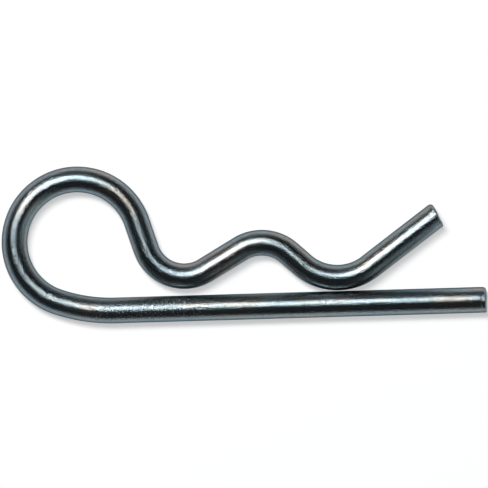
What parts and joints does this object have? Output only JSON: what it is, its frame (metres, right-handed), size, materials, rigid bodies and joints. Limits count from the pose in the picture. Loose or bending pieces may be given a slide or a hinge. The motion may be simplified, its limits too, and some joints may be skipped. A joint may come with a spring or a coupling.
{
  "type": "cotter pin",
  "caption": "R-shaped spring cotter pin bent from round zinc-plated wire: a straight leg passes through a shaft's cross hole while a sprung wavy arm grips round the shaft.",
  "frame": {"origin": "where the straight leg's axis crosses the axis of the shaft the clip locks, in the wire's mid plane", "axes": "+X along the straight leg to its free end, +Y from the leg toward the sprung arm, +Z along the locked shaft's axis, square to the flat of the clip"},
  "size_m": [0.0743, 0.0243, 0.004],
  "materials": {
    "zinc_plated_steel": "bright zinc plating over hard drawn spring wire, glossy with a fine grain"
  },
  "bodies": {
    "root": {"spring_wire": "zinc_plated_steel"}
  },
  "joints": []
}
